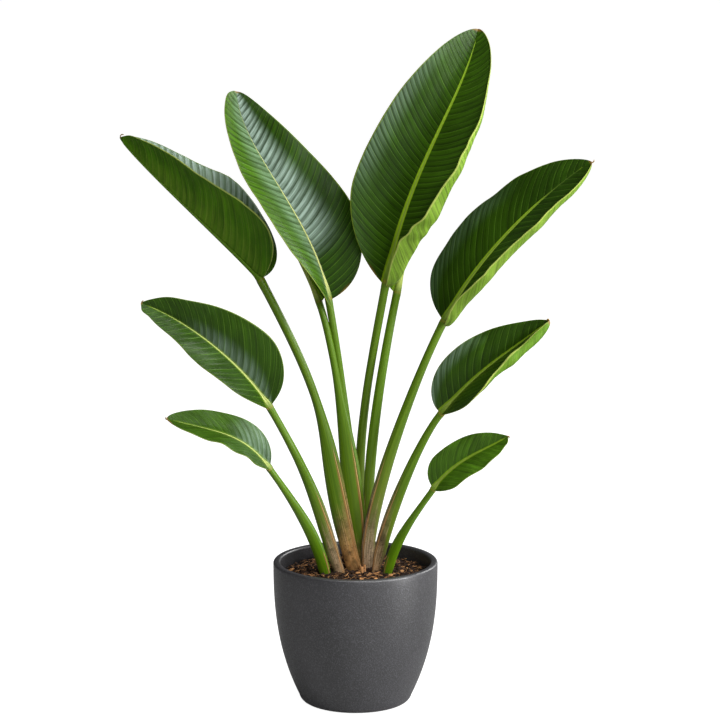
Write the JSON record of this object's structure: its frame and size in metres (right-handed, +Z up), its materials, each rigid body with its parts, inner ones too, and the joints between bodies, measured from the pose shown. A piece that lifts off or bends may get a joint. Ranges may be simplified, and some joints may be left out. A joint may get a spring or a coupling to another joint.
{
  "type": "potted bird of paradise plant",
  "caption": "Bird of paradise houseplant: upright paddle-shaped green leaves on long channelled stalks, fanned out from bark soil in a matte charcoal round pot.",
  "frame": {"origin": "centre of the pot's flat base, on the surface that it stands on", "axes": "+Z up along the pot's axis, +X to the right and -Y towards the viewer in the picture's front view; the leaves fan out mainly along X"},
  "size_m": [0.7882, 0.4131, 1.1435],
  "materials": {
    "pot": "matte",
    "soil": "rough",
    "dry_sheath": "matte",
    "stalk": "satin",
    "leaf": "satin"
  },
  "bodies": {
    "root": {"pot": "pot", "soil": "soil", "old_sheath_stub": "dry_sheath", "stalk_left_upper": "stalk", "blade_left_upper": "leaf", "stalk_left_tall": "stalk", "blade_left_tall": "leaf", "stalk_right_tall": "stalk", "blade_right_tall": "leaf", "stalk_left_back": "stalk", "blade_left_back": "leaf", "stalk_right_back": "stalk", "blade_right_back": "leaf", "stalk_right_upper": "stalk", "blade_right_upper": "leaf", "stalk_right_middle": "stalk", "blade_right_middle": "leaf", "stalk_right_small": "stalk", "blade_right_small": "leaf", "stalk_left_middle": "stalk", "blade_left_middle": "leaf", "stalk_left_small": "stalk", "blade_left_small": "leaf"}
  },
  "joints": []
}
